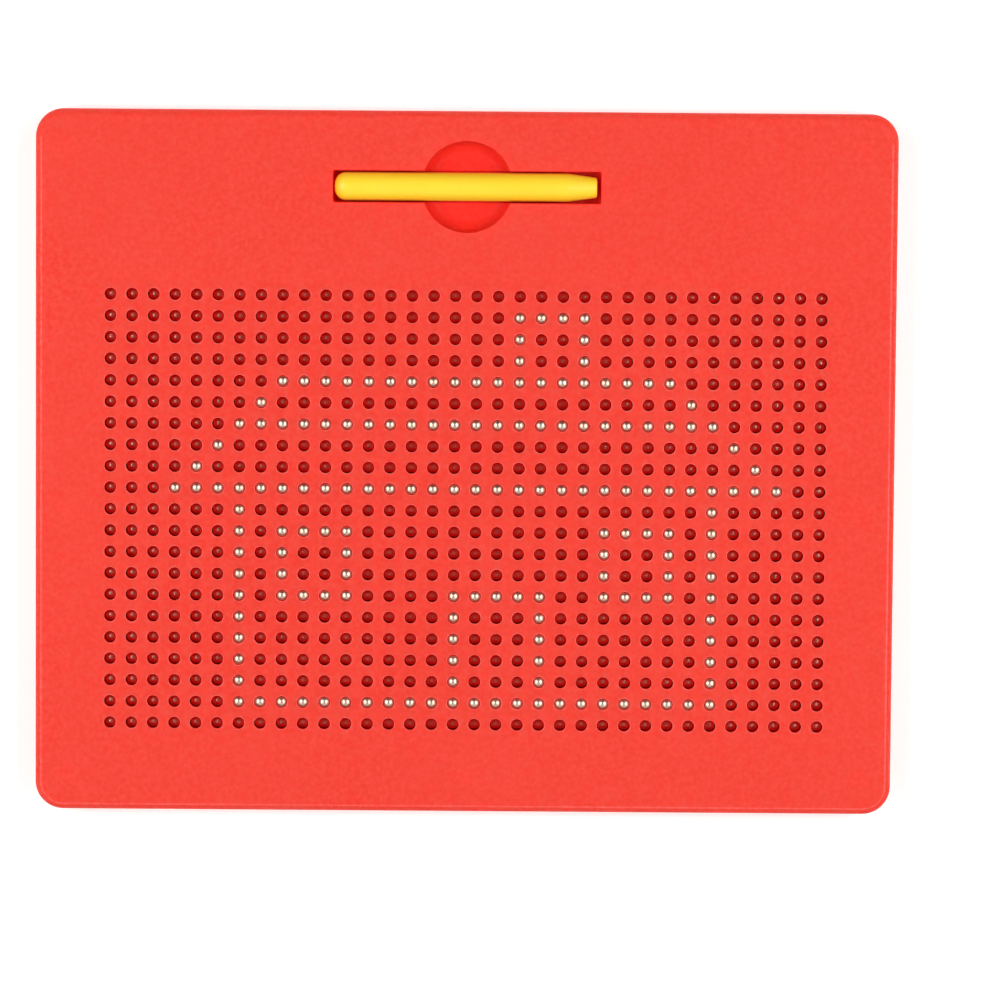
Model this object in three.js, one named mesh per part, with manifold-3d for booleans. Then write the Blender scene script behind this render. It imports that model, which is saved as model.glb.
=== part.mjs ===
// Magnetic ball drawing board: a flat two-shell tablet with one steel ball under each hole of its drawing
// field. A magnetic stylus pulls balls up into their holes, and a fingertip pushes them down again.
// The balls stand as left by someone who has drawn a house.
//
// Frame, in millimetres: +X along the long side, +Y towards the stylus, +Z up out of the drawing face.
// The origin is in the middle of the underside.

import * as THREE from 'three';
import { mergeGeometries, mergeVertices } from 'three/addons/utils/BufferGeometryUtils.js';
import Module from 'manifold-3d';

const wasm = await Module();
wasm.setup();

// ---------------------------------------------------------------- driving dimensions

// Ball field and the margins of casing round it, from the outermost hole centres to the casing's edge.
const columns = 34;
const rows = 21;
const pitch = 7.65;
const sideMargin = 26.775;
const bottomMargin = 31.5;
const topMargin = 65.5;

// Casing: two moulded shells that meet at a parting line.
const thickness = 15;
const cornerRadius = 10;
const topEdgeRadius = 3;
const bottomEdgeRadius = 1.5;
const wall = 2;
const faceThickness = 2;
const floorThickness = 1.8;
const partingZ = 6;
const partingGap = 0.3;
const tongueThickness = 1;
const tongueRise = 2;

// Balls, and the holes that they stand in.
const ballDiameter = 4.5;
const holeUndersize = 0.4;
const boreOversize = 0.7;
const cellOversize = 0.9;
const lipThickness = 0.5;
const ballTravel = 4.5;
const ballGap = 0.1;

// Plates under the face.
const holdingSheetThickness = 0.6;
const baseSheetThickness = 0.5;
const plateMargin = 6;
const stackGap = 0.05;
const rimThickness = 1.2;
const rimDepth = 4;
const rimClearance = 0.25;
const ribThickness = 1.2;
const ribsAlongX = 3;
const ribsAlongY = 5;
const crossRibDrop = 0.5;

// Stylus and its magnet.
const stylusDiameter = 10;
const stylusLength = 93.2;
const stylusEndRadius = 4.2;
const stylusTipDiameter = 7.1;
const stylusTaper = 10.2;
const stylusEndWall = 4;
const magnetDiameter = 5;
const magnetLength = 8;
const magnetInset = 0.3;
const magnetClearance = 0.1;

// Stylus slot and finger scoop in the top cover. The stylus lies a little towards its round end.
const slotFromTop = 26.8;
const slotSideClearance = 0.6;
const slotEndClearance = 0.9;
const stylusShift = 0.5;
const stylusProud = 1.5;
const slotGap = 0.1;
const scoopRadius = 16.1;
const scoopDepth = 7.5;
const scoopFillet = 5;
const tubWall = 1.6;

// Screws from behind, and the posts and bosses that they join.
const screwHeadDiameter = 6;
const screwHeadRim = 0.25;
const screwShankDiameter = 3;
const screwLength = 10.5;
const screwPoint = 1.5;
const screwInset = 0.2;
const screwClearance = 0.15;
const postDiameter = 7;
const postInsetX = 11.5;
const postInsetY = 13;
const bossDiameter = 9;
const bossHeight = 4.5;

// Facets.
const cornerSteps = 5;
const edgeSteps = 3;
const holeSides = 10;
const cellSides = 8;
const roundSides = 12;
const scoopSides = 32;
const ballSides = 8;
const ballRings = 5;

// ---------------------------------------------------------------- worked-out sizes

const fieldWidth = (columns - 1) * pitch;
const fieldHeight = (rows - 1) * pitch;
const width = fieldWidth + 2 * sideMargin;
const height = bottomMargin + fieldHeight + topMargin;
const fieldY = -height / 2 + bottomMargin + fieldHeight / 2;

const ballRadius = ballDiameter / 2;
const holeRadius = (ballDiameter - holeUndersize) / 2;
const boreRadius = (ballDiameter + boreOversize) / 2;
const cellRadius = (ballDiameter + cellOversize) / 2;

// Heights, from the drawing face down.
const faceUnderZ = thickness - faceThickness;
const seatZ = thickness - lipThickness;
const raisedZ = seatZ - Math.sqrt(ballRadius ** 2 - holeRadius ** 2) - ballGap;
const sunkZ = raisedZ - ballTravel;
const holdingSheetTop = faceUnderZ - stackGap;
const cellPlateTop = holdingSheetTop - holdingSheetThickness - stackGap;
const baseSheetTop = sunkZ - ballRadius - ballGap;
const cellPlateBottom = baseSheetTop + stackGap;
const ribTop = baseSheetTop - baseSheetThickness - stackGap;

const plateWidth = fieldWidth + 2 * plateMargin;
const plateHeight = fieldHeight + 2 * plateMargin;

const slotY = height / 2 - slotFromTop;
const slotWidth = stylusDiameter + 2 * slotSideClearance;
const slotLength = stylusLength + 2 * slotEndClearance;
const stylusZ = thickness + stylusProud - stylusDiameter / 2;
const slotFloorZ = stylusZ - stylusDiameter / 2 - slotGap;
const scoopFloorZ = thickness - scoopDepth;

const postX = width / 2 - postInsetX;
const postY = height / 2 - postInsetY;
const innerPostX = slotLength / 2 + tubWall + postDiameter;
const screwPlaces = [
  [-postX, postY], [postX, postY], [-innerPostX, slotY], [innerPostX, slotY],
  [-postX, fieldY], [postX, fieldY], [-postX, -postY], [0, -postY], [postX, -postY],
];

// ---------------------------------------------------------------- materials

const casingRed = new THREE.MeshStandardMaterial({ color: 0xfd4c40, roughness: 0.55, metalness: 0 });
const sheetBrown = new THREE.MeshStandardMaterial({ color: 0x3a302c, roughness: 0.8, metalness: 0 });
const stylusYellow = new THREE.MeshStandardMaterial({ color: 0xffe23c, roughness: 0.35, metalness: 0 });
const polishedSteel = new THREE.MeshStandardMaterial({ color: 0xd9d7d3, roughness: 0.12, metalness: 1 });
const platedSteel = new THREE.MeshStandardMaterial({ color: 0xb9bcbe, roughness: 0.35, metalness: 1 });

// ---------------------------------------------------------------- shapes and booleans

function roundedRectangle(w, h, r) {
  const x = w / 2;
  const y = h / 2;
  const shape = new THREE.Shape();
  shape.moveTo(-x + r, -y);
  shape.lineTo(x - r, -y);
  shape.absarc(x - r, -y + r, r, -Math.PI / 2, 0, false);
  shape.lineTo(x, y - r);
  shape.absarc(x - r, y - r, r, 0, Math.PI / 2, false);
  shape.lineTo(-x + r, y);
  shape.absarc(-x + r, y - r, r, Math.PI / 2, Math.PI, false);
  shape.lineTo(-x, -y + r);
  shape.absarc(-x + r, -y + r, r, Math.PI, Math.PI * 1.5, false);
  return shape;
}

// A rounded rectangle with square edges, from one height to another.
function slab(w, h, r, low, high) {
  const options = { depth: high - low, bevelEnabled: false, curveSegments: cornerSteps };
  return new THREE.ExtrudeGeometry(roundedRectangle(w, h, r), options).translate(0, 0, low);
}

// The same with its two edges rounded.
function softSlab(w, h, r, low, high, edge) {
  const options = {
    depth: high - low - 2 * edge,
    bevelEnabled: true,
    bevelThickness: edge,
    bevelSize: edge,
    bevelOffset: -edge,
    bevelSegments: edgeSteps,
    curveSegments: cornerSteps,
  };
  return new THREE.ExtrudeGeometry(roundedRectangle(w, h, r), options).translate(0, 0, low + edge);
}

function block(w, h, low, high, x = 0, y = 0) {
  return new THREE.BoxGeometry(w, h, high - low).translate(x, y, (low + high) / 2);
}

// A round bar along Z whose flats, not its corners, are at the radius, so that what it cuts is no tighter.
function bar(radius, low, high, sides, x = 0, y = 0) {
  const r = radius / Math.cos(Math.PI / sides);
  const upright = new THREE.CylinderGeometry(r, r, high - low, sides).rotateX(Math.PI / 2);
  return upright.translate(x, y, (low + high) / 2);
}

// A turned shape about Z, from [radius, height] points that start and end on the axis.
function turned(points, sides, x = 0, y = 0) {
  const profile = points.map(([r, z]) => new THREE.Vector2(r, z));
  return new THREE.LatheGeometry(profile, sides).rotateX(Math.PI / 2).translate(x, y, 0);
}

function solid(geometry) {
  const bare = geometry.clone();
  bare.deleteAttribute('normal');
  bare.deleteAttribute('uv');
  const merged = mergeVertices(bare);
  const vertProperties = new Float32Array(merged.attributes.position.array);
  const triVerts = new Uint32Array(merged.index.array);
  return new wasm.Manifold(new wasm.Mesh({ numProp: 3, vertProperties, triVerts }));
}

function geometryOf(manifold) {
  const made = manifold.getMesh();
  const geometry = new THREE.BufferGeometry();
  geometry.setAttribute('position', new THREE.BufferAttribute(new Float32Array(made.vertProperties), 3));
  geometry.setIndex(new THREE.BufferAttribute(new Uint32Array(made.triVerts), 1));
  geometry.computeVertexNormals();
  return geometry;
}

const join = (base, ...pieces) => pieces.reduce((whole, piece) => whole.add(solid(piece)), base);
const cut = (base, ...pieces) => pieces.reduce((whole, piece) => whole.subtract(solid(piece)), base);

const board = new THREE.Group();

function addPiece(name, shape, material) {
  const piece = new THREE.Mesh(shape.isBufferGeometry ? shape : geometryOf(shape), material);
  piece.name = name;
  board.add(piece);
  return piece;
}

// ---------------------------------------------------------------- balls

// Each group is one stroke of the drawing, or one area that is still blank: whether its balls are up, and
// the [column, row] of the balls of it that are separate pieces here, counted from the top left hole.
const ballGroups = {
  chimney: { up: true, places: [[19, 1], [22, 1]] },
  ridge: { up: true, places: [[8, 4], [17, 4], [26, 4]] },
  roof_slope: { up: true, places: [[5, 7], [29, 7]] },
  roof_line: { up: true, places: [[12, 6], [22, 6]] },
  eaves: { up: true, places: [[4, 9], [17, 9], [30, 9]] },
  house_wall: { up: true, places: [[6, 12], [28, 12]] },
  ground_line: { up: true, places: [[6, 19], [17, 19], [28, 19]] },
  left_window: { up: true, places: [[8, 11], [11, 14]] },
  right_window: { up: true, places: [[23, 14], [26, 11]] },
  door: { up: true, places: [[16, 14], [20, 14]] },
  left_sky: { up: false, places: [[4, 1], [2, 6]] },
  right_sky: { up: false, places: [[29, 1], [31, 6]] },
  roof_area: { up: false, places: [[10, 8], [24, 8]] },
  wall_area: { up: false, places: [[13, 12], [22, 17]] },
  window_area: { up: false, places: [[10, 13], [24, 12], [18, 16]] },
  left_area: { up: false, places: [[2, 12], [3, 17]] },
  right_area: { up: false, places: [[31, 12], [32, 17]] },
  bottom_row: { up: false, places: [[8, 20], [25, 20]] },
};

const columnX = (column) => (column - (columns - 1) / 2) * pitch;
const rowY = (row) => fieldY - (row - (rows - 1) / 2) * pitch;
const modelledPlaces = Object.values(ballGroups)
  .flatMap(({ places }) => places)
  .map(([column, row]) => [columnX(column), rowY(row)]);

function ballGeometry() {
  const profile = [];
  for (let ring = 0; ring <= ballRings; ring += 1) {
    const angle = -Math.PI / 2 + (Math.PI * ring) / ballRings;
    profile.push([ring % ballRings === 0 ? 0 : ballRadius * Math.cos(angle), ballRadius * Math.sin(angle)]);
  }
  return turned(profile, ballSides);
}

for (const [group, { up, places }] of Object.entries(ballGroups)) {
  places.forEach(([column, row], index) => {
    const ball = addPiece(`${group}_ball_${index + 1}`, ballGeometry(), polishedSteel);
    ball.position.set(columnX(column), rowY(row), up ? raisedZ : sunkZ);
  });
}

// One closed cutter of many round bars that don't touch each other.
function barsAt(places, radius, low, high, sides) {
  return mergeGeometries(places.map(([x, y]) => bar(radius, low, high, sides, x, y)));
}

// ---------------------------------------------------------------- top cover

const past = 1;

function scoopCutter() {
  const profile = [[0, scoopFloorZ]];
  for (let step = 0; step <= edgeSteps + 1; step += 1) {
    const angle = (Math.PI / 2) * (step / (edgeSteps + 1));
    const r = scoopRadius - scoopFillet + scoopFillet * Math.sin(angle);
    profile.push([r, scoopFloorZ + scoopFillet - scoopFillet * Math.cos(angle)]);
  }
  profile.push([scoopRadius, thickness + past], [0, thickness + past]);
  return turned(profile, scoopSides, 0, slotY);
}

function topCover() {
  const outer = solid(softSlab(width, height, cornerRadius, -thickness, thickness, topEdgeRadius));
  const inside = slab(width - 2 * wall, height - 2 * wall, cornerRadius - wall, partingZ - past, faceUnderZ);
  const below = block(width + past, height + past, -thickness - past, partingZ);
  const shell = cut(outer, below, inside);

  // A rim that the plates lie in, the tub of the slot and scoop, and the screw posts stand on the underside.
  const rimWidth = plateWidth + 2 * rimClearance;
  const rimHeight = plateHeight + 2 * rimClearance;
  const rimLow = faceUnderZ - rimDepth;
  const outerWidth = rimWidth + 2 * rimThickness;
  const outerHeight = rimHeight + 2 * rimThickness;
  const rim = cut(
    solid(block(outerWidth, outerHeight, rimLow, faceUnderZ, 0, fieldY)),
    block(rimWidth, rimHeight, rimLow - past, faceUnderZ + past, 0, fieldY),
  );
  const tubLength = slotLength + 2 * tubWall;
  const slotTub = block(tubLength, slotWidth + 2 * tubWall, slotFloorZ - tubWall, seatZ, 0, slotY);
  const scoopTub = bar(scoopRadius + tubWall, scoopFloorZ - tubWall, seatZ, scoopSides, 0, slotY);
  const postLow = bossHeight + stackGap;
  const posts = barsAt(screwPlaces, postDiameter / 2, postLow, seatZ, roundSides);

  const pilotRadius = screwShankDiameter / 2 + screwClearance;
  return cut(
    join(shell.add(rim), slotTub, scoopTub, posts),
    block(slotLength, slotWidth, slotFloorZ, thickness + past, 0, slotY),
    scoopCutter(),
    barsAt(screwPlaces, pilotRadius, postLow - past, screwInset + screwLength + stackGap, roundSides),
    barsAt(modelledPlaces, holeRadius, seatZ - past, thickness + past, holeSides),
    barsAt(modelledPlaces, boreRadius, faceUnderZ - past, seatZ, holeSides),
  );
}

addPiece('top_cover', topCover(), casingRed);

// ---------------------------------------------------------------- plates inside

function plate(low, high) {
  return solid(block(plateWidth, plateHeight, low, high, 0, fieldY));
}

const sheetLow = holdingSheetTop - holdingSheetThickness;
const sheetHoles = barsAt(modelledPlaces, boreRadius, sheetLow - past, holdingSheetTop + past, cellSides);
addPiece('holding_sheet', cut(plate(sheetLow, holdingSheetTop), sheetHoles), sheetBrown);

const cells = barsAt(modelledPlaces, cellRadius, cellPlateBottom - past, cellPlateTop + past, cellSides);
addPiece('cell_plate', cut(plate(cellPlateBottom, cellPlateTop), cells), casingRed);

const baseSheet = block(plateWidth, plateHeight, baseSheetTop - baseSheetThickness, baseSheetTop, 0, fieldY);
addPiece('base_sheet', baseSheet, sheetBrown);

// ---------------------------------------------------------------- bottom cover

// A flat-headed screw's outline from its head up, grown by a clearance on every side for the hole it sits in.
function screwProfile(grown, low, high) {
  const head = screwHeadDiameter / 2 + grown;
  const shank = screwShankDiameter / 2 + grown;
  const rimTop = screwInset + screwHeadRim + grown;
  return [[0, low], [head, low], [head, rimTop], [shank, rimTop + head - shank], [shank, high]];
}

function bottomCover() {
  const high = partingZ - partingGap;
  const outer = solid(softSlab(width, height, cornerRadius, 0, 2 * thickness, bottomEdgeRadius));
  const lower = cut(outer, block(width + past, height + past, high, 2 * thickness + past));
  const tongueInset = wall + screwClearance;
  const tongue = slab(
    width - 2 * tongueInset,
    height - 2 * tongueInset,
    cornerRadius - tongueInset,
    floorThickness,
    partingZ + tongueRise,
  );
  const insideInset = tongueInset + tongueThickness;
  const inside = slab(
    width - 2 * insideInset,
    height - 2 * insideInset,
    cornerRadius - insideInset,
    floorThickness,
    thickness,
  );
  const shell = cut(join(lower, tongue), inside);

  const ribs = [];
  for (let i = 0; i < ribsAlongX; i += 1) {
    const y = fieldY + plateHeight * ((i + 0.5) / ribsAlongX - 0.5);
    ribs.push(block(plateWidth, ribThickness, floorThickness - stackGap, ribTop - crossRibDrop, 0, y));
  }
  for (let i = 0; i < ribsAlongY; i += 1) {
    const x = plateWidth * ((i + 0.5) / ribsAlongY - 0.5);
    ribs.push(block(ribThickness, plateHeight, floorThickness - stackGap, ribTop, x, fieldY));
  }
  const bosses = barsAt(screwPlaces, bossDiameter / 2, floorThickness - stackGap, bossHeight, roundSides);

  const holeProfile = screwProfile(screwClearance, -past, bossHeight + past);
  holeProfile.push([0, bossHeight + past]);
  const holes = mergeGeometries(screwPlaces.map(([x, y]) => turned(holeProfile, roundSides, x, y)));
  return cut(join(shell, ...ribs, bosses), holes);
}

addPiece('bottom_cover', bottomCover(), casingRed);

// ---------------------------------------------------------------- screws

screwPlaces.forEach(([x, y], index) => {
  const top = screwInset + screwLength;
  const profile = screwProfile(0, screwInset, top - screwPoint);
  profile.push([0, top]);
  const screw = addPiece(`screw_${index + 1}`, turned(profile, roundSides), platedSteel);
  screw.position.set(x, y, 0);
});

// ---------------------------------------------------------------- stylus

// The barrel lies along X with its rounded end to the left; it is hollow from its tapered tip.
function barrelGeometry() {
  const radius = stylusDiameter / 2;
  const boreR = magnetDiameter / 2 + magnetClearance;
  const profile = [[0, 0]];
  for (let step = 0; step <= edgeSteps + 1; step += 1) {
    const angle = (Math.PI / 2) * (step / (edgeSteps + 1));
    const r = radius - stylusEndRadius + stylusEndRadius * Math.sin(angle);
    profile.push([r, stylusEndRadius - stylusEndRadius * Math.cos(angle)]);
  }
  profile.push(
    [radius, stylusLength - stylusTaper],
    [stylusTipDiameter / 2, stylusLength],
    [boreR, stylusLength],
    [boreR, stylusEndWall],
    [0, stylusEndWall],
  );
  return turned(profile, roundSides).rotateY(Math.PI / 2);
}

const magnetEnd = stylusLength - magnetInset;
const magnetProfile = [
  [0, magnetEnd - magnetLength], [magnetDiameter / 2, magnetEnd - magnetLength],
  [magnetDiameter / 2, magnetEnd], [0, magnetEnd],
];
const barrel = addPiece('stylus_barrel', barrelGeometry(), stylusYellow);
const magnet = addPiece('stylus_magnet', turned(magnetProfile, roundSides).rotateY(Math.PI / 2), platedSteel);
for (const piece of [barrel, magnet]) {
  piece.position.set(-stylusLength / 2 - stylusShift, slotY, stylusZ);
}

export default board;
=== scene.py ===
# Magnetic ball drawing board: a red two-shell tablet, 714 steel balls and a yellow magnetic stylus.
# Metres. +X runs along the long side, +Y towards the stylus, +Z out of the drawing face.

import math

import bpy
from mathutils import Matrix, Vector


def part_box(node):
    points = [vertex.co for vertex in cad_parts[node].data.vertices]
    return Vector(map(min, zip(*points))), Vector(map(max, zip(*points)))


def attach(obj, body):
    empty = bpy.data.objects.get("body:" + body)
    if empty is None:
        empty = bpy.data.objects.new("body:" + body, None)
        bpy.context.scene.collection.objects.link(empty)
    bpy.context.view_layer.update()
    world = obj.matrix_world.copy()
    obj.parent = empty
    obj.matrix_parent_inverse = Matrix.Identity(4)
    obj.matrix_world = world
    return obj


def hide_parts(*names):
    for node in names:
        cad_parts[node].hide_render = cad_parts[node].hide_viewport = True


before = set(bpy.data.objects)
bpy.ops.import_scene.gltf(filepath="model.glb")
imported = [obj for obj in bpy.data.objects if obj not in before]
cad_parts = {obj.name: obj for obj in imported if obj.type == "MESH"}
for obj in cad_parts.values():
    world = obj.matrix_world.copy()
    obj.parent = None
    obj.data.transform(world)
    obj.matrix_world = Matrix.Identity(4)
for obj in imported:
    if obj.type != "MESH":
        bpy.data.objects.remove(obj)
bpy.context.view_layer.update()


# ---------------------------------------------------------------- camera
# A long lens looks almost straight down on the drawing face, from a little beyond the stylus. It takes
# in about 0.36 m at the board.

camera_place = (0.00495, 0.12597, 1.79787)
camera_turn_degrees = (-4.4557, -0.2077, 0.4430)
sensor_millimetres = 36
lens_millimetres = 180.85

camera_turn = [math.radians(degrees) for degrees in camera_turn_degrees]
bpy.ops.object.camera_add(location=camera_place, rotation=camera_turn)
camera = bpy.context.object
camera.data.sensor_width = sensor_millimetres
camera.data.lens = lens_millimetres
bpy.context.scene.camera = camera


# ---------------------------------------------------------------- light
# A white diffusing panel leans over the board on each side. A smaller, brighter lamp just behind it,
# which it does not block, throws the shadows. A weaker panel leans over the lower edge. The space between
# them, straight above the board, is dark, and what is seen past the floor is white.

panel_foot = Vector((1.08, 0, 0.625))
panel_head = Vector((0.53, 0, 1.19))
panel_shift = Vector((0, 0.12, 0))
side_span = 1.6
side_watts = 7.0
near_span = 1.0
near_watts = 2.3
lamp_place = Vector((0.746, 0.12, 1.065))
lamp_size = 0.50
lamp_watts = 5.9
lamp_color = (1.0, 0.985, 0.96)
surround_strength = 0.015
backdrop_strength = 1.05


def soft_light(place, outward, across, along, watts):
    """A rectangular lamp that shines away from its outward side. Its along side slopes up as it leans."""
    turn = outward.to_track_quat("Z", "Y").to_euler()
    bpy.ops.object.light_add(type="AREA", location=place, rotation=turn)
    light = bpy.context.object.data
    light.shape = "RECTANGLE"
    light.size = across
    light.size_y = along
    light.energy = watts
    light.color = lamp_color


def leaning_panel(degrees, shift, span, watts):
    """A panel that leans over the board from this direction, counted from +X."""
    about = Matrix.Rotation(math.radians(degrees), 3, "Z")
    slope = panel_head - panel_foot
    outward = about @ Vector((slope.z, 0, -slope.x))
    place = about @ ((panel_foot + panel_head) / 2) + shift
    soft_light(place, outward, span, slope.length, watts)


leaning_panel(0, panel_shift, side_span, side_watts)
leaning_panel(180, panel_shift, side_span, side_watts)
leaning_panel(-90, Vector(), near_span, near_watts)
for side in (-1, 1):
    mirrored = Vector((side, 1, 1))
    soft_light(lamp_place * mirrored, lamp_place * mirrored, lamp_size, lamp_size, lamp_watts)

surround = bpy.data.worlds.new("surround")
surround.use_nodes = True
sky = surround.node_tree
sky.nodes.clear()
fill_light = sky.nodes.new("ShaderNodeBackground")
fill_light.inputs["Strength"].default_value = surround_strength
backdrop = sky.nodes.new("ShaderNodeBackground")
backdrop.inputs["Color"].default_value = (1, 1, 1, 1)
backdrop.inputs["Strength"].default_value = backdrop_strength
seen_directly = sky.nodes.new("ShaderNodeLightPath")
either = sky.nodes.new("ShaderNodeMixShader")
surround_out = sky.nodes.new("ShaderNodeOutputWorld")
sky.links.new(seen_directly.outputs["Is Camera Ray"], either.inputs[0])
sky.links.new(fill_light.outputs[0], either.inputs[1])
sky.links.new(backdrop.outputs[0], either.inputs[2])
sky.links.new(either.outputs[0], surround_out.inputs["Surface"])
bpy.context.scene.world = surround
bpy.context.scene.view_settings.view_transform = "Standard"


# ---------------------------------------------------------------- floor
# The board lies on a wide sheet of smooth white studio paper. The paper glows a little of itself, and
# more so further off.


class Finish:
    """A material in the making: a node tree with a principled shader, fed by patterns in metres."""

    def __init__(self, name, color, roughness, metallic=0.0):
        self.material = bpy.data.materials.new(name)
        self.material.use_nodes = True
        self.material.diffuse_color = (*color, 1)
        self.tree = self.material.node_tree
        self.shader = self.tree.nodes["Principled BSDF"]
        self.shader.inputs["Base Color"].default_value = (*color, 1)
        self.shader.inputs["Roughness"].default_value = roughness
        self.shader.inputs["Metallic"].default_value = metallic
        self.where = self.tree.nodes.new("ShaderNodeTexCoord").outputs["Object"]

    def stretched(self, scale):
        """The place on the piece, stretched, so that a pattern runs along one way of it."""
        mapping = self.tree.nodes.new("ShaderNodeMapping")
        mapping.inputs["Scale"].default_value = scale
        self.tree.links.new(self.where, mapping.inputs["Vector"])
        return mapping.outputs["Vector"]

    def noise(self, grain, detail=3.0, where=None):
        """Cloudy noise whose grains are about this many metres across."""
        noise = self.tree.nodes.new("ShaderNodeTexNoise")
        noise.inputs["Scale"].default_value = 1 / grain
        noise.inputs["Detail"].default_value = detail
        self.tree.links.new(where or self.where, noise.inputs["Vector"])
        return noise.outputs["Fac"]

    def clouds(self, grain, detail=3.0, where=None):
        """Cloudy noise that takes up the whole of 0 to 1, to blend two colours by."""
        return self.spread(self.noise(grain, detail, where), 0, 1)

    def spread(self, pattern, low, high, start=0.3, end=0.7):
        """A pattern's values from start to end, spread over low to high."""
        spread = self.tree.nodes.new("ShaderNodeMapRange")
        spread.inputs["From Min"].default_value = start
        spread.inputs["From Max"].default_value = end
        spread.inputs["To Min"].default_value = low
        spread.inputs["To Max"].default_value = high
        self.tree.links.new(pattern, spread.inputs["Value"])
        return spread.outputs["Result"]

    def blend(self, amount, first, second):
        """A colour between two, each a colour or another blend, by a pattern."""
        mix = self.tree.nodes.new("ShaderNodeMix")
        mix.data_type = "RGBA"
        self.tree.links.new(amount, mix.inputs[0])
        for value, socket in ((first, mix.inputs[6]), (second, mix.inputs[7])):
            if isinstance(value, tuple):
                socket.default_value = (*value, 1)
            else:
                self.tree.links.new(value, socket)
        return mix.outputs[2]

    def add_bump(self, pattern, depth, strength=1.0):
        """Relief of this depth in metres, on top of any relief that is already there."""
        bump = self.tree.nodes.new("ShaderNodeBump")
        bump.inputs["Strength"].default_value = strength
        bump.inputs["Distance"].default_value = depth
        self.tree.links.new(pattern, bump.inputs["Height"])
        normal = self.shader.inputs["Normal"]
        if normal.is_linked:
            self.tree.links.new(normal.links[0].from_socket, bump.inputs["Normal"])
        self.tree.links.new(bump.outputs["Normal"], normal)

    def set_color(self, source):
        self.tree.links.new(source, self.shader.inputs["Base Color"])

    def set_roughness(self, source):
        self.tree.links.new(source, self.shader.inputs["Roughness"])


floor_reach = 12
paper_glow = 0.25
far_paper_glow = 1.05
glow_starts = 0.4
glow_full = 1.8


def studio_paper():
    """White paper with a faint tooth, whose glow grows with the distance from the board."""
    finish = Finish("studio_paper", (0.96, 0.965, 0.97), 0.9)
    finish.set_color(finish.blend(finish.clouds(0.15), (0.955, 0.96, 0.965), (0.97, 0.975, 0.98)))
    distance = finish.tree.nodes.new("ShaderNodeVectorMath")
    distance.operation = "LENGTH"
    finish.tree.links.new(finish.where, distance.inputs[0])
    shine = finish.spread(distance.outputs["Value"], paper_glow, far_paper_glow, glow_starts, glow_full)
    finish.shader.inputs["Emission Color"].default_value = (1, 1, 1, 1)
    finish.tree.links.new(shine, finish.shader.inputs["Emission Strength"])
    finish.add_bump(finish.noise(0.0012), 0.00002)
    return finish.material


bpy.ops.mesh.primitive_plane_add(size=floor_reach)
floor = bpy.context.object
floor.name = "paper_floor"
floor.data.materials.append(studio_paper())


# ---------------------------------------------------------------- top cover
# One injection-moulded shell of red ABS with a fine spark-eroded face. The mould leaves 714 lipped holes,
# the stylus slot with its finger scoop, a rim for the plates and nine screw posts on the underside.

outer_low, outer_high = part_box("top_cover")
plate_low, plate_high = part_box("cell_plate")
face_z = outer_high.z
parting_z = outer_low.z
corner_radius = 0.010
corner_steps = 14
top_edge_radius = 0.003
top_edge_steps = 8
parting_edge = 0.00025
wall = 0.002
face_thickness = 0.002
face_under = face_z - face_thickness
# A cutter runs this far past the surface that it opens, and places closer than tiny are the same.
through = 0.001
tiny = 0.00001
# A small rounding is three points, the middle one this share of its radius away from both faces.
midway = 0.3
small_steps = 4

columns = 34
rows = 21
pitch = 0.00765
field = (plate_low + plate_high) / 2
first_hole_x = field.x - pitch * (columns - 1) / 2
first_hole_y = field.y + pitch * (rows - 1) / 2

ball_hole_radius = 0.00205
ball_bore_radius = 0.0026
bore_rise = 0.0002
lip_radius = 0.00245
lip_depth = 0.0003
seat_z = face_z - 0.0005
hole_sides = 16

stylus_low, stylus_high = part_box("stylus_barrel")
stylus_size = stylus_high - stylus_low
slot_centre = Vector((field.x, (stylus_low.y + stylus_high.y) / 2, (stylus_low.z + stylus_high.z) / 2))
slot_end_room = 0.0009
slot_side_room = 0.0006
slot_floor = stylus_low.z - 0.0001
slot_rim = 0.0003
slot_corner = 0.0008
slot_floor_edge = 0.0006
tub_wall = 0.0016
tub_round = 0.004

scoop_radius = 0.0161
scoop_floor = face_z - 0.0075
scoop_fillet = 0.005
scoop_sides = 96

post_radius = 0.0035
post_low = 0.00455
post_sides = 32
pilot_radius = 0.00165
pilot_top = 0.01075
pilot_sides = 24


def only(piece):
    """This piece and no other is selected and active."""
    bpy.ops.object.select_all(action="DESELECT")
    piece.select_set(True)
    bpy.context.view_layer.objects.active = piece


def settle(piece):
    """The piece's place, turn and size go into its mesh."""
    only(piece)
    bpy.ops.object.transform_apply(location=True, rotation=True, scale=True)


def edit_edges(piece, wanted):
    """Edit mode, with the edges selected whose two ends answer to wanted."""
    only(piece)
    bpy.ops.object.mode_set(mode="EDIT")
    bpy.ops.mesh.select_mode(type="EDGE")
    bpy.ops.mesh.select_all(action="DESELECT")
    bpy.ops.object.mode_set(mode="OBJECT")
    points = piece.data.vertices
    for edge in piece.data.edges:
        start, end = edge.vertices
        edge.select = wanted(points[start].co, points[end].co)
    bpy.ops.object.mode_set(mode="EDIT")


def edit_faces(piece, wanted):
    """Edit mode, with the faces selected whose centre and normal answer to wanted."""
    only(piece)
    bpy.ops.object.mode_set(mode="EDIT")
    bpy.ops.mesh.select_mode(type="FACE")
    bpy.ops.mesh.select_all(action="DESELECT")
    bpy.ops.object.mode_set(mode="OBJECT")
    for face in piece.data.polygons:
        face.select = wanted(face.center, face.normal)
    bpy.ops.object.mode_set(mode="EDIT")


def round_edges(piece, radius, steps, wanted):
    edit_edges(piece, wanted)
    bpy.ops.mesh.bevel(offset=radius, segments=steps, affect="EDGES")
    bpy.ops.object.mode_set(mode="OBJECT")


def at_height(z):
    return lambda start, end: abs(start.z - z) < tiny and abs(end.z - z) < tiny


def upright(start, end):
    return abs(start.x - end.x) < tiny and abs(start.y - end.y) < tiny


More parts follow.
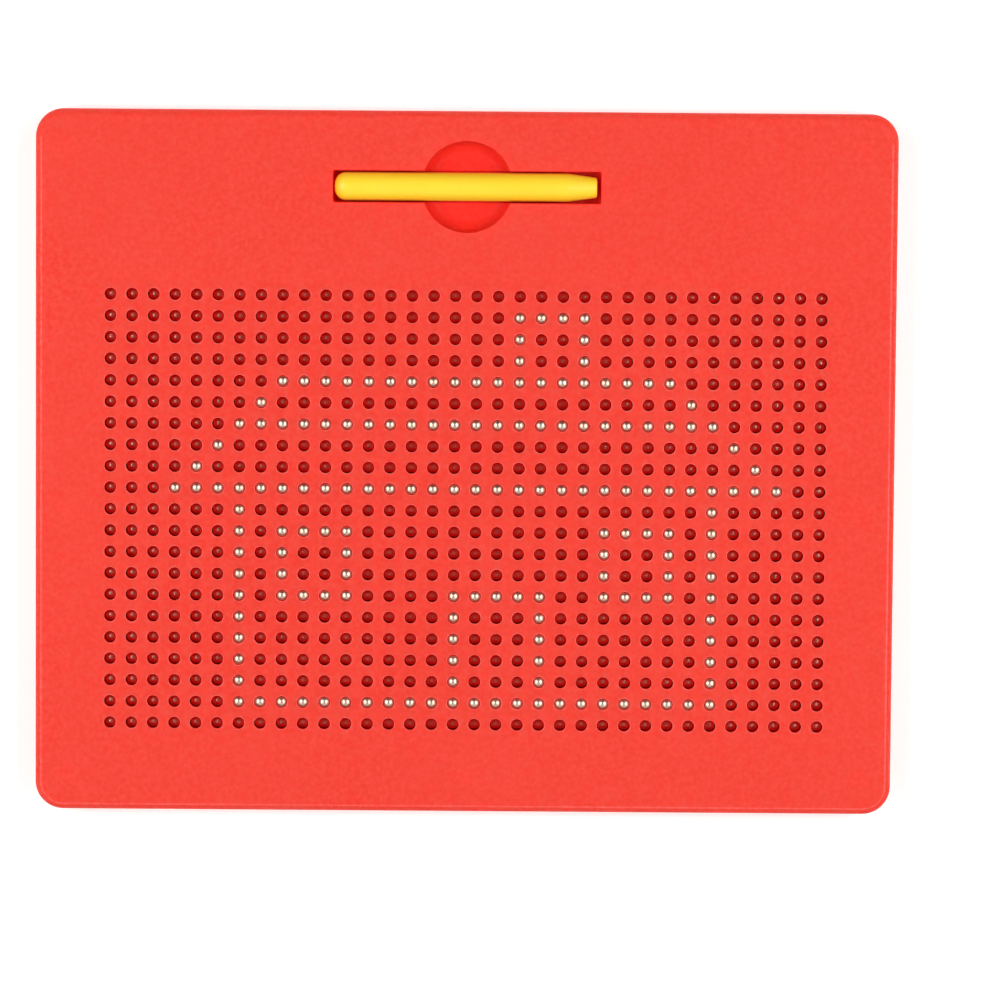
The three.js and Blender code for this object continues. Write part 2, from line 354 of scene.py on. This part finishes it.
def faces_up(centre, normal):
    return normal.z > 0.9


def faces_down(centre, normal):
    return normal.z < -0.9


def block(name, low, high, corner=0.0, steps=8):
    """A block from its lowest to its highest corner, its upright edges rounded where a corner is given."""
    low, high = Vector(low), Vector(high)
    bpy.ops.mesh.primitive_cube_add(size=1, location=(low + high) / 2)
    made = bpy.context.object
    made.name = name
    made.scale = high - low
    settle(made)
    if corner:
        round_edges(made, corner, steps, upright)
    return made


def turned(name, rings, sides, x=0.0, y=0.0):
    """A closed solid turned about an upright line, from the (radius, height) of each ring, end to end."""
    radius, height = rings[0]
    bpy.ops.mesh.primitive_circle_add(vertices=sides, radius=radius, fill_type="NGON", enter_editmode=True)
    bpy.ops.transform.translate(value=(0, 0, height))
    for next_radius, next_height in rings[1:]:
        bpy.ops.mesh.extrude_region_move(TRANSFORM_OT_translate={"value": (0, 0, next_height - height)})
        grown = next_radius / radius
        bpy.ops.transform.resize(value=(grown, grown, 1), center_override=(0, 0, next_height))
        radius, height = next_radius, next_height
    bpy.ops.mesh.select_all(action="SELECT")
    bpy.ops.mesh.normals_make_consistent(inside=False)
    bpy.ops.object.mode_set(mode="OBJECT")
    made = bpy.context.object
    made.name = name
    made.location = (x, y, 0)
    settle(made)
    return made


def combine(piece, other, how):
    """Joins the other shape to the piece, or cuts it away, and uses it up."""
    only(piece)
    change = piece.modifiers.new("change", "BOOLEAN")
    change.operation = how
    change.solver = "MANIFOLD"
    change.object = other
    bpy.ops.object.modifier_apply(modifier=change.name)
    bpy.data.objects.remove(other)


def add(piece, other):
    combine(piece, other, "UNION")


def cut(piece, other):
    combine(piece, other, "DIFFERENCE")


def apply_modifier(piece, kind, **settings):
    only(piece)
    modifier = piece.modifiers.new(kind.lower(), kind)
    for setting, value in settings.items():
        setattr(modifier, setting, value)
    bpy.ops.object.modifier_apply(modifier=modifier.name)


def smooth(piece, degrees=35):
    """Round faces shade round and flat faces stay flat up to the edges that they share."""
    only(piece)
    bpy.ops.object.shade_smooth_by_angle(angle=math.radians(degrees))
    apply_modifier(piece, "WEIGHTED_NORMAL", mode="FACE_AREA", weight=100, keep_sharp=True)


def finish_piece(piece, material, slot, body, *nodes):
    """The piece's material, a slot that is not used, what it moves with and the nodes it stands for."""
    piece.data.materials.clear()
    piece.data.materials.append(material)
    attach(piece, body)
    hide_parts(*nodes)


def screw_places():
    """The middle of each of the nine cover screws."""
    ends = [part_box(f"screw_{number}") for number in range(1, 10)]
    return [((low.x + high.x) / 2, (low.y + high.y) / 2) for low, high in ends]


def bored(piece, rings, sides):
    """Cuts the same turned hole at every place of the ball field."""
    cutter = turned("field_cutter", rings, sides, first_hole_x, first_hole_y)
    across = dict(use_relative_offset=False, use_constant_offset=True)
    apply_modifier(cutter, "ARRAY", count=columns, constant_offset_displace=(pitch, 0, 0), **across)
    apply_modifier(cutter, "ARRAY", count=rows, constant_offset_displace=(0, -pitch, 0), **across)
    cut(piece, cutter)


def flats_at(radius, sides):
    """The corner radius of a many-sided hole whose flats are this far from its middle."""
    return radius / math.cos(math.pi / sides)


face_light = (0.98, 0.047, 0.028)
face_deep = (0.955, 0.040, 0.022)


def moulded_red(name, light, deep, polish=0.0, painted_glow=0.0):
    """Red ABS, which light soaks into: slight flow mottling, paler specks that are a painted sheen on the
    grain, a fine eroded grain, and rubbed patches that are a little smoother. Polish takes the grain away,
    where the mould was polished. The last amount is a red emission, painted light that makes a recess look
    lit within."""
    finish = Finish(name, light, 0.5)
    finish.shader.inputs["Subsurface Weight"].default_value = 0.8 - 0.4 * polish
    finish.shader.inputs["Subsurface Radius"].default_value = (1.0, 0.12, 0.08)
    finish.shader.inputs["Subsurface Scale"].default_value = 0.005
    finish.shader.inputs["Specular IOR Level"].default_value = 0.2 - 0.05 * polish
    # A red emission: painted light, so that a recess looks lit from within.
    finish.shader.inputs["Emission Color"].default_value = (1.0, 0.0, 0.0, 1)
    finish.shader.inputs["Emission Strength"].default_value = painted_glow
    mottled = finish.blend(finish.clouds(0.06, 4), deep, light)
    # Paler specks of the grain: a painted sheen.
    painted_sheen_pale = (light[0] * 1.02, light[1] * 1.5, light[2] * 1.7)
    painted_sheen_flecks = finish.spread(finish.noise(0.0016, 4), 0, 1, 0.35, 0.68)
    finish.set_color(finish.blend(painted_sheen_flecks, mottled, painted_sheen_pale))
    rubbed = finish.noise(0.035, 5)
    finish.set_roughness(finish.spread(rubbed, 0.50 - 0.15 * polish, 0.64 - 0.15 * polish))
    finish.add_bump(finish.noise(0.00045, 3), 0.000035, 0.55 - 0.5 * polish)
    finish.add_bump(finish.noise(0.018, 2), 0.00012, 0.35)
    return finish.material


# The face's own red first. The scoop, slot and hole wall reds are darker copies of it, painted shade in
# these recesses, besides the smoother polish of the scoop. The slot and hole walls also carry painted
# light.
red_plastic = moulded_red("moulded_red", face_light, face_deep)
polished_red_painted_shade = moulded_red("polished_red_painted_shade", (0.89, 0.024, 0.014), (0.86, 0.020, 0.011), 1.0)
slot_red_painted_shade_glow = moulded_red("slot_red_painted_shade_glow", (0.93, 0.022, 0.013), (0.90, 0.018, 0.010), 0.6, 0.12)
# The lips of the ball holes are smoother, and their paler red is a painted highlight.
lip_painted_highlight = moulded_red("lip_painted_highlight", (1.0, 0.09, 0.07), (0.98, 0.07, 0.055), 0.6)
hole_red_painted_shade_glow = moulded_red("hole_red_painted_shade_glow", (0.90, 0.020, 0.012), (0.86, 0.016, 0.009), 0.5, 0.17)

top_shell = block("top_shell", outer_low, outer_high, corner_radius, corner_steps)
round_edges(top_shell, top_edge_radius, top_edge_steps, at_height(face_z))
edit_faces(top_shell, faces_down)
bpy.ops.mesh.inset(thickness=wall)
bpy.ops.mesh.extrude_region_move(TRANSFORM_OT_translate={"value": (0, 0, face_under - parting_z)})
bpy.ops.object.mode_set(mode="OBJECT")


def outer_wall_edge(z):
    """The edges at this height that lie on the casing's outside."""
    inner_x = outer_high.x - wall / 2
    inner_y = outer_high.y - wall / 2
    inner_corner = Vector((outer_high.x - corner_radius, outer_high.y - corner_radius))

    def outside(point):
        past_corner = Vector((abs(point.x), abs(point.y))) - inner_corner
        round_here = min(past_corner) > 0 and past_corner.length > corner_radius - wall / 2
        return abs(point.x) > inner_x or abs(point.y) > inner_y or round_here

    return lambda start, end: at_height(z)(start, end) and outside(start) and outside(end)


round_edges(top_shell, parting_edge, 2, outer_wall_edge(parting_z))

rim_room = 0.00025
rim_thickness = 0.0012
rim_depth = 0.004
bedded = face_z - face_thickness / 2
rim_grow = Vector((rim_room + rim_thickness, rim_room + rim_thickness, 0))
room_grow = Vector((rim_room, rim_room, 0))
rim_bottom = Vector((0, 0, face_under - rim_depth))
flat = Vector((1, 1, 0))
plate_rim = block(
    "plate_rim",
    plate_low * flat - rim_grow + rim_bottom,
    plate_high * flat + rim_grow + Vector((0, 0, bedded)),
    rim_thickness,
    small_steps,
)
plate_room = block(
    "plate_room",
    plate_low * flat - room_grow + rim_bottom - Vector((0, 0, through)),
    plate_high * flat + room_grow + Vector((0, 0, face_z)),
)
cut(plate_rim, plate_room)
add(top_shell, plate_rim)

half_slot = Vector((stylus_size.x / 2 + slot_end_room, stylus_size.y / 2 + slot_side_room, 0))
slot_low = slot_centre * flat - half_slot + Vector((0, 0, slot_floor))
slot_high = slot_centre * flat + half_slot + Vector((0, 0, face_z - slot_rim))
tub = Vector((tub_wall, tub_wall, tub_wall))
tub_high = (slot_high + tub) * flat + Vector((0, 0, bedded))
add(top_shell, block("slot_tub", slot_low - tub, tub_high, tub_wall))
scoop_tub_radius = scoop_radius + tub_wall
scoop_tub_bottom = scoop_floor - tub_wall
scoop_tub = [
    (scoop_tub_radius - tub_round, scoop_tub_bottom),
    (scoop_tub_radius - tub_round * midway, scoop_tub_bottom + tub_round * midway),
    (scoop_tub_radius, scoop_tub_bottom + tub_round),
    (scoop_tub_radius, bedded),
]
add(top_shell, turned("scoop_tub", scoop_tub, scoop_sides, slot_centre.x, slot_centre.y))
for x, y in screw_places():
    post = [(post_radius, post_low), (post_radius, bedded)]
    add(top_shell, turned("screw_post", post, post_sides, x, y))


def rim_rounding(steps=3):
    """The quarter round of a moulded rim: how far it has opened and risen, step by step."""
    turns = [math.pi / 2 * step / steps for step in range(steps + 1)]
    return [(slot_rim * (1 - math.cos(turn)), slot_rim * math.sin(turn)) for turn in turns]


slot_cutter = block("slot_cutter", slot_low, slot_high, slot_corner, small_steps)
round_edges(slot_cutter, slot_floor_edge, 3, at_height(slot_floor))
edit_faces(slot_cutter, faces_up)
opened, risen = 0.0, 0.0
for opening, rise in rim_rounding()[1:]:
    bpy.ops.mesh.extrude_region_move(TRANSFORM_OT_translate={"value": (0, 0, rise - risen)})
    grow = [(half + opening) / (half + opened) for half in (half_slot.x, half_slot.y)]
    bpy.ops.transform.resize(value=(*grow, 1), center_override=(slot_centre.x, slot_centre.y, slot_high.z))
    opened, risen = opening, rise
bpy.ops.mesh.extrude_region_move(TRANSFORM_OT_translate={"value": (0, 0, through)})
bpy.ops.object.mode_set(mode="OBJECT")
cut(top_shell, slot_cutter)

fillet_steps = 8
scoop_rings = []
for step in range(fillet_steps + 1):
    turn = math.pi / 2 * step / fillet_steps
    ring = scoop_radius - scoop_fillet + scoop_fillet * math.sin(turn)
    scoop_rings.append((ring, scoop_floor + scoop_fillet * (1 - math.cos(turn))))
scoop_rings += [(scoop_radius + opening, face_z - slot_rim + rise) for opening, rise in rim_rounding()]
scoop_rings.append((scoop_radius + slot_rim, face_z + through))
cut(top_shell, turned("scoop_cutter", scoop_rings, scoop_sides, slot_centre.x, slot_centre.y))

for x, y in screw_places():
    pilot = [(pilot_radius, post_low - through), (pilot_radius, pilot_top)]
    cut(top_shell, turned("pilot_hole", pilot, pilot_sides, x, y))

hole_corner = flats_at(ball_hole_radius, hole_sides)
bore_corner = flats_at(ball_bore_radius, hole_sides)
ball_hole = [
    (bore_corner, face_under - through),
    (bore_corner, face_under + bore_rise),
    (hole_corner, seat_z),
    (hole_corner, face_z - lip_depth),
    (hole_corner + (lip_radius - ball_hole_radius) * midway, face_z - lip_depth * midway),
    (lip_radius, face_z),
    (lip_radius + lip_depth, face_z + through),
]
bored(top_shell, ball_hole, hole_sides)
smooth(top_shell)
finish_piece(top_shell, red_plastic, "casing", "casing", "top_cover")
reds = [red_plastic, polished_red_painted_shade, lip_painted_highlight, hole_red_painted_shade_glow, slot_red_painted_shade_glow]
for red in reds[1:]:
    top_shell.data.materials.append(red)
field_edge = first_hole_y + pitch / 2
# Faces of the scoop, the slot and the hole walls take the darker reds, which are painted shade.
for face in top_shell.data.polygons:
    inside_x = abs(face.center.x - slot_centre.x) < half_slot.x + slot_rim
    inside_y = abs(face.center.y - slot_centre.y) < half_slot.y + slot_rim
    in_scoop = ((face.center - slot_centre) * flat).length < scoop_radius + slot_rim
    below_face = slot_floor - tiny < face.center.z < face_z - tiny
    if below_face and inside_x and inside_y:
        face.material_index = reds.index(slot_red_painted_shade_glow)
    if below_face and in_scoop:
        face.material_index = reds.index(polished_red_painted_shade)
    # The sloping lips round the ball holes take the painted highlight red.
    sloping = 0.1 < face.normal.z < 0.98
    if sloping and face.center.y < field_edge and face.center.z > face_z - lip_depth:
        face.material_index = reds.index(lip_painted_highlight)
    over_plates = plate_low.x < face.center.x < plate_high.x and plate_low.y < face.center.y < plate_high.y
    if over_plates and face_under + tiny < face.center.z < face_z - lip_depth:
        face.material_index = reds.index(hole_red_painted_shade_glow)


# ---------------------------------------------------------------- bottom cover
# The same red ABS. A thin tongue round its wall fits inside the top cover, ribs carry the plates, and
# nine bosses take the countersunk screws.

under_low, under_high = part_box("bottom_cover")
wall_top = 0.0057
bottom_edge_radius = 0.0015
bottom_edge_steps = 6
tongue_clearance = 0.00015
tongue_thickness = 0.001
floor_thickness = 0.0018
rib_thickness = 0.0012
rib_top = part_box("base_sheet")[0].z - 0.00005
cross_rib_drop = 0.0005
ribs_along_x = 3
ribs_along_y = 5
boss_radius = 0.0045
boss_top = 0.0045
boss_foot = 0.0006
boss_sides = 32
sink_edge = 0.0003

wall_corner = (under_high.x, under_high.y, wall_top)
bottom_shell = block("bottom_shell", under_low, wall_corner, corner_radius, corner_steps)
round_edges(bottom_shell, bottom_edge_radius, bottom_edge_steps, at_height(under_low.z))
edit_faces(bottom_shell, faces_up)
bpy.ops.mesh.inset(thickness=wall + tongue_clearance)
bpy.ops.mesh.extrude_region_move(TRANSFORM_OT_translate={"value": (0, 0, under_high.z - wall_top)})
bpy.ops.mesh.inset(thickness=tongue_thickness)
bpy.ops.mesh.extrude_region_move(TRANSFORM_OT_translate={"value": (0, 0, floor_thickness - under_high.z)})
bpy.ops.object.mode_set(mode="OBJECT")
round_edges(bottom_shell, parting_edge, 2, outer_wall_edge(wall_top))

plate_size = plate_high - plate_low
sunk = floor_thickness / 2
for row in range(ribs_along_x):
    y = field.y + plate_size.y * ((row + 0.5) / ribs_along_x - 0.5)
    low = (plate_low.x, y - rib_thickness / 2, sunk)
    high = (plate_high.x, y + rib_thickness / 2, rib_top - cross_rib_drop)
    add(bottom_shell, block("long_rib", low, high))
for column in range(ribs_along_y):
    x = field.x + plate_size.x * ((column + 0.5) / ribs_along_y - 0.5)
    low = (x - rib_thickness / 2, plate_low.y, sunk)
    high = (x + rib_thickness / 2, plate_high.y, rib_top)
    add(bottom_shell, block("short_rib", low, high))

screw_low, screw_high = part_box("screw_1")
head_radius = (screw_high.x - screw_low.x) / 2
shank_radius = 0.0015
head_rim = 0.00025
screw_room = 0.00015
cone_top = screw_low.z + head_rim + head_radius - shank_radius
sink_radius = head_radius + screw_room
for x, y in screw_places():
    boss = [
        (boss_radius + boss_foot, sunk),
        (boss_radius + boss_foot, floor_thickness),
        (boss_radius, floor_thickness + boss_foot),
        (boss_radius, boss_top),
    ]
    add(bottom_shell, turned("boss", boss, boss_sides, x, y))
    sink = [
        (sink_radius + sink_edge, under_low.z - through),
        (sink_radius + sink_edge, under_low.z),
        (sink_radius, under_low.z + sink_edge),
        (sink_radius, screw_low.z + head_rim + screw_room),
        (shank_radius + screw_room, cone_top + screw_room),
        (shank_radius + screw_room, boss_top + through),
    ]
    cut(bottom_shell, turned("countersink", sink, boss_sides, x, y))
smooth(bottom_shell)
finish_piece(bottom_shell, red_plastic, "casing", "casing", "bottom_cover")


# ---------------------------------------------------------------- plates
# Under the face lie a punched sheet of magnetic rubber that holds raised balls, the moulded plate of
# cells that keeps each ball under its hole, and a plain magnetic sheet that holds sunk balls.

punched_sides = 12
cell_radius = 0.0027
plate_corner = 0.0012
sheet_edge = 0.0001


def magnetic_rubber():
    """Calendered ferrite rubber: near black brown, matt, with fine mineral specks."""
    finish = Finish("magnetic_rubber", (0.045, 0.030, 0.024), 0.8)
    specks = finish.spread(finish.noise(0.0004, 2), 0, 1, 0.5, 0.8)
    finish.set_color(finish.blend(specks, (0.045, 0.030, 0.024), (0.12, 0.085, 0.07)))
    finish.set_roughness(finish.spread(finish.noise(0.01), 0.7, 0.88))
    finish.add_bump(finish.noise(0.0007, where=finish.stretched((1, 6, 1))), 0.00003, 0.5)
    return finish.material


def field_plate(name, node, hole_radius, material, slot):
    """A plate or sheet in the place of its node, with a round hole through it under every ball hole."""
    low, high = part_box(node)
    made = block(name, low, high, plate_corner, small_steps)
    corner = flats_at(hole_radius, punched_sides)
    bored(made, [(corner, low.z - through), (corner, high.z + through)], punched_sides)
    smooth(made)
    finish_piece(made, material, slot, "casing", node)


rubber = magnetic_rubber()
# The cell plate's red emission is painted light, which the sunk balls show.
cell_red_painted_glow = moulded_red("cell_red_painted_glow", (0.84, 0.020, 0.012), (0.78, 0.016, 0.010), painted_glow=0.17)
field_plate("punched_rubber_sheet", "holding_sheet", ball_bore_radius, rubber, "magnet_sheet")
field_plate("ball_cell_grid", "cell_plate", cell_radius, cell_red_painted_glow, "cell_plate")

base_low, base_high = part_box("base_sheet")
rubber_base = block("rubber_base_sheet", base_low, base_high, plate_corner, small_steps)
round_edges(rubber_base, sheet_edge, 1, at_height(base_high.z))
smooth(rubber_base)
finish_piece(rubber_base, rubber, "magnet_sheet", "casing", "base_sheet")


# ---------------------------------------------------------------- balls
# Hardened carbon steel balls, ground and polished, one in each cell. Those of the drawing stand up in
# their holes, and the rest lie on the base sheet. Each stroke of the drawing, and each blank area, moves
# as one.

strokes = {
    "chimney": [[(19, 3), (19, 1), (22, 1), (22, 3)]],
    "ridge": [[(8, 4), (26, 4)]],
    "roof_slope": [[(7, 5), (4, 8)], [(27, 5), (30, 8)]],
    "roof_line": [[(7, 6), (27, 6)]],
    "eaves": [[(3, 9), (31, 9)]],
    "house_wall": [[(6, 10), (6, 18)], [(28, 10), (28, 18)]],
    "ground_line": [[(6, 19), (28, 19)]],
    "left_window": [[(8, 11), (11, 11), (11, 14), (8, 14), (8, 11)]],
    "right_window": [[(23, 11), (26, 11), (26, 14), (23, 14), (23, 11)]],
    "door": [[(16, 18), (16, 14), (20, 14), (20, 18)]],
}


def holes_along(line):
    """The (column, row) of every hole that a line of straight runs passes."""
    passed = {line[0]}
    for (column, row), (last_column, last_row) in zip(line, line[1:]):
        count = max(abs(last_column - column), abs(last_row - row))
        for step in range(1, count + 1):
            passed.add((
                column + (last_column - column) * step // count,
                row + (last_row - row) * step // count,
            ))
    return passed


# The roof's slopes are where column + row, on the left, and column - row, on the right, have one value.
left_slope = 12
right_slope = 22
ridge_row = 4
eaves_row = 9
left_wall = 6
right_wall = 28
window_rows = (12, 13)
window_columns = (9, 10, 24, 25)
door_rows = range(15, 19)
door_columns = range(17, 20)


def blank_area(column, row):
    """The blank area of the field that a hole belongs to, named as a person would point to it."""
    if row == rows - 1:
        return "bottom_row"
    if row > eaves_row:
        if column < left_wall:
            return "left_area"
        if column > right_wall:
            return "right_area"
        in_window = row in window_rows and column in window_columns
        in_door = row in door_rows and column in door_columns
        return "window_area" if in_window or in_door else "wall_area"
    if ridge_row < row < eaves_row and left_slope - row < column < right_slope + row:
        return "roof_area"
    return "left_sky" if column < columns // 2 else "right_sky"


def polished_steel():
    """Softly polished steel with faint rolling scratches and a cloudy warm tint, a painted reflection of
    the red casing.
    """
    finish = Finish("polished_steel", (0.76, 0.55, 0.43), 0.36, metallic=1.0)
    finish.set_color(finish.blend(finish.clouds(0.004, 2), (0.72, 0.51, 0.39), (0.80, 0.58, 0.46)))
    finish.set_roughness(finish.spread(finish.noise(0.0006, 3), 0.32, 0.41))
    finish.add_bump(finish.noise(0.0003, where=finish.stretched((1, 5, 1))), 0.000003, 0.3)
    return finish.material


groups = {name: set().union(*map(holes_along, lines)) for name, lines in strokes.items()}
raised = set().union(*groups.values())
for column in range(columns):
    for row in range(rows):
        if (column, row) not in raised:
            groups.setdefault(blank_area(column, row), set()).add((column, row))

ball_low, ball_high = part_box("ridge_ball_1")
ball_radius = (ball_high.z - ball_low.z) / 2
bpy.ops.mesh.primitive_cube_add(size=ball_radius, enter_editmode=True)
bpy.ops.mesh.subdivide(number_cuts=2)
bpy.ops.object.mode_set(mode="OBJECT")
pattern_ball = bpy.context.object
round_out = dict(cast_type="SPHERE", use_radius_as_size=False, size=ball_radius, factor=1)
apply_modifier(pattern_ball, "CAST", **round_out)
bpy.ops.object.shade_smooth()

steel = polished_steel()
for group in sorted(groups):
    low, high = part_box(f"{group}_ball_1")
    middle = (low.z + high.z) / 2
    bpy.ops.object.select_all(action="DESELECT")
    for column, row in sorted(groups[group]):
        ball = pattern_ball.copy()
        ball.data = pattern_ball.data.copy()
        ball.location = (first_hole_x + column * pitch, first_hole_y - row * pitch, middle)
        bpy.context.collection.objects.link(ball)
        ball.select_set(True)
        bpy.context.view_layer.objects.active = ball
    bpy.ops.object.join()
    balls = bpy.context.object
    balls.name = f"{group}_steel_balls"
    settle(balls)
    nodes = [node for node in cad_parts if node.startswith(f"{group}_ball_")]
    finish_piece(balls, steel, "ball", f"{group}_balls", *nodes)
bpy.data.objects.remove(pattern_ball)


# ---------------------------------------------------------------- stylus
# A barrel moulded in smooth yellow ABS, round at its left end and tapered at its tip. It is hollow from
# the tip to take a magnet, and it lies loose in its slot.

barrel_length = stylus_size.x
barrel_radius = stylus_size.z / 2
round_end = 0.0042
round_end_steps = 8
tip_radius = 0.00355
taper = 0.0102
taper_start = ((-0.0006, 0), (0, 0.00015), (0.0006, 0.0007))
bore_radius = 0.0026
bore_end = 0.004
bore_edge = 0.0002
tip_edge = 0.0005
barrel_sides = 64


def moulded_yellow():
    """Smooth yellow ABS with slight flow streaks along the barrel and a gloss made uneven by handling."""
    finish = Finish("moulded_yellow", (1.0, 0.69, 0.03), 0.32)
    finish.shader.inputs["Subsurface Weight"].default_value = 0.3
    finish.shader.inputs["Subsurface Radius"].default_value = (1.0, 0.7, 0.1)
    finish.shader.inputs["Subsurface Scale"].default_value = 0.002
    streaks = finish.clouds(0.012, 3, finish.stretched((0.25, 1, 1)))
    finish.set_color(finish.blend(streaks, (1.0, 0.66, 0.024), (1.0, 0.71, 0.036)))
    finish.set_roughness(finish.spread(finish.noise(0.004, 4), 0.34, 0.48))
    finish.add_bump(finish.noise(0.0005, 3), 0.00001, 0.4)
    finish.add_bump(finish.noise(0.006, 2), 0.00006, 0.4)
    return finish.material


def lying(name, rings, sides, left_end):
    """A turned solid that lies along the slot, its rings given from its left end towards the right."""
    made = turned(name, rings, sides)
    made.rotation_euler = (0, math.pi / 2, 0)
    made.location = (left_end, slot_centre.y, slot_centre.z)
    settle(made)
    smooth(made)
    return made


barrel_rings = []
for step in range(round_end_steps + 1):
    turn = math.pi / 2 * step / round_end_steps
    ring = barrel_radius - round_end + round_end * math.sin(turn)
    barrel_rings.append((ring, round_end * (1 - math.cos(turn))))
slope = (barrel_radius - tip_radius) / taper
for along, down_slope in taper_start:
    barrel_rings.append((barrel_radius - slope * down_slope, barrel_length - taper + along))
barrel_rings += [
    (tip_radius + slope * tip_edge, barrel_length - tip_edge),
    (tip_radius - tip_edge * midway, barrel_length - tip_edge * midway),
    (tip_radius - tip_edge, barrel_length),
    (bore_radius + bore_edge, barrel_length),
    (bore_radius, barrel_length - bore_edge),
    (bore_radius, bore_end),
]
stylus_body = lying("stylus_body", barrel_rings, barrel_sides, stylus_low.x)
finish_piece(stylus_body, moulded_yellow(), "stylus", "stylus", "stylus_barrel")


# ---------------------------------------------------------------- stylus magnet
# A short sintered neodymium rod, plated with nickel. It is pushed into the bore of the stylus and glued
# there, a little way inside the tip.


def nickel_plate():
    """Bright nickel, a little yellow and cloudy, with fine pits."""
    finish = Finish("nickel_plate", (0.62, 0.60, 0.56), 0.25, metallic=1.0)
    finish.set_color(finish.blend(finish.clouds(0.002), (0.56, 0.54, 0.50), (0.70, 0.68, 0.64)))
    finish.set_roughness(finish.spread(finish.noise(0.0008), 0.18, 0.36))
    finish.add_bump(finish.noise(0.0002), 0.000004, 0.4)
    return finish.material


magnet_low, magnet_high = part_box("stylus_magnet")
magnet_radius = (magnet_high.z - magnet_low.z) / 2
magnet_length = magnet_high.x - magnet_low.x
magnet_edge = 0.0002
magnet_sides = 40
magnet_rings = [
    (magnet_radius - magnet_edge, 0),
    (magnet_radius - magnet_edge * midway, magnet_edge * midway),
    (magnet_radius, magnet_edge),
    (magnet_radius, magnet_length - magnet_edge),
    (magnet_radius - magnet_edge * midway, magnet_length - magnet_edge * midway),
    (magnet_radius - magnet_edge, magnet_length),
]
tip_magnet = lying("tip_magnet", magnet_rings, magnet_sides, magnet_low.x)
finish_piece(tip_magnet, nickel_plate(), "magnet", "stylus", "stylus_magnet")


# ---------------------------------------------------------------- screws
# Nine self-tapping screws of cold-headed steel, plated with zinc, with countersunk heads and a cross
# recess. They are driven from behind and hold the two covers together.

screw_sides = 32
head_edge = 0.0001
screw_point = 0.0001
thread_pitch = 0.0009
thread_root = 0.0011
thread_start = 0.0030
point_length = 0.0015
recess_width = 0.0008
recess_reach = 0.0017
recess_depth = 0.0013
recess_taper = 0.55


def zinc_plate():
    """Blue-white zinc with clouds of brighter and duller plating, and faint turned rings."""
    finish = Finish("zinc_plate", (0.60, 0.61, 0.62), 0.32, metallic=1.0)
    finish.set_color(finish.blend(finish.clouds(0.0015), (0.50, 0.51, 0.52), (0.70, 0.71, 0.72)))
    finish.set_roughness(finish.spread(finish.noise(0.0006), 0.24, 0.44))
    finish.add_bump(finish.noise(0.00015, where=finish.stretched((1, 1, 4))), 0.000006, 0.5)
    return finish.material


screw_rings = [
    (head_radius - head_edge, screw_low.z),
    (head_radius, screw_low.z + head_edge),
    (head_radius, screw_low.z + head_rim),
    (shank_radius, cone_top),
    (shank_radius, thread_start - thread_pitch / 2),
    (thread_root, thread_start),
]
thread_end = screw_high.z - point_length
threads = int((thread_end - thread_start) / thread_pitch)
for thread in range(threads):
    z = thread_start + thread * thread_pitch
    screw_rings += [(shank_radius, z + thread_pitch / 2), (thread_root, z + thread_pitch)]
screw_rings.append((screw_point, screw_high.z))
pattern_screw = turned("pattern_screw", screw_rings, screw_sides)
recess_bottom = screw_low.z + recess_depth
for reach_x, reach_y in ((recess_reach, recess_width / 2), (recess_width / 2, recess_reach)):
    arm_low = (-reach_x, -reach_y, screw_low.z - through)
    arm = block("recess_arm", arm_low, (reach_x, reach_y, recess_bottom))
    edit_faces(arm, faces_up)
    narrowed = (recess_taper, recess_taper, 1)
    bpy.ops.transform.resize(value=narrowed, center_override=(0, 0, recess_bottom))
    bpy.ops.object.mode_set(mode="OBJECT")
    cut(pattern_screw, arm)

zinc = zinc_plate()
for number, (x, y) in enumerate(screw_places(), start=1):
    screw = pattern_screw.copy()
    screw.data = pattern_screw.data.copy()
    screw.name = f"cover_screw_{number}"
    screw.location = (x, y, 0)
    bpy.context.collection.objects.link(screw)
    settle(screw)
    smooth(screw, 30)
    finish_piece(screw, zinc, "screw", "casing", f"screw_{number}")
bpy.data.objects.remove(pattern_screw)
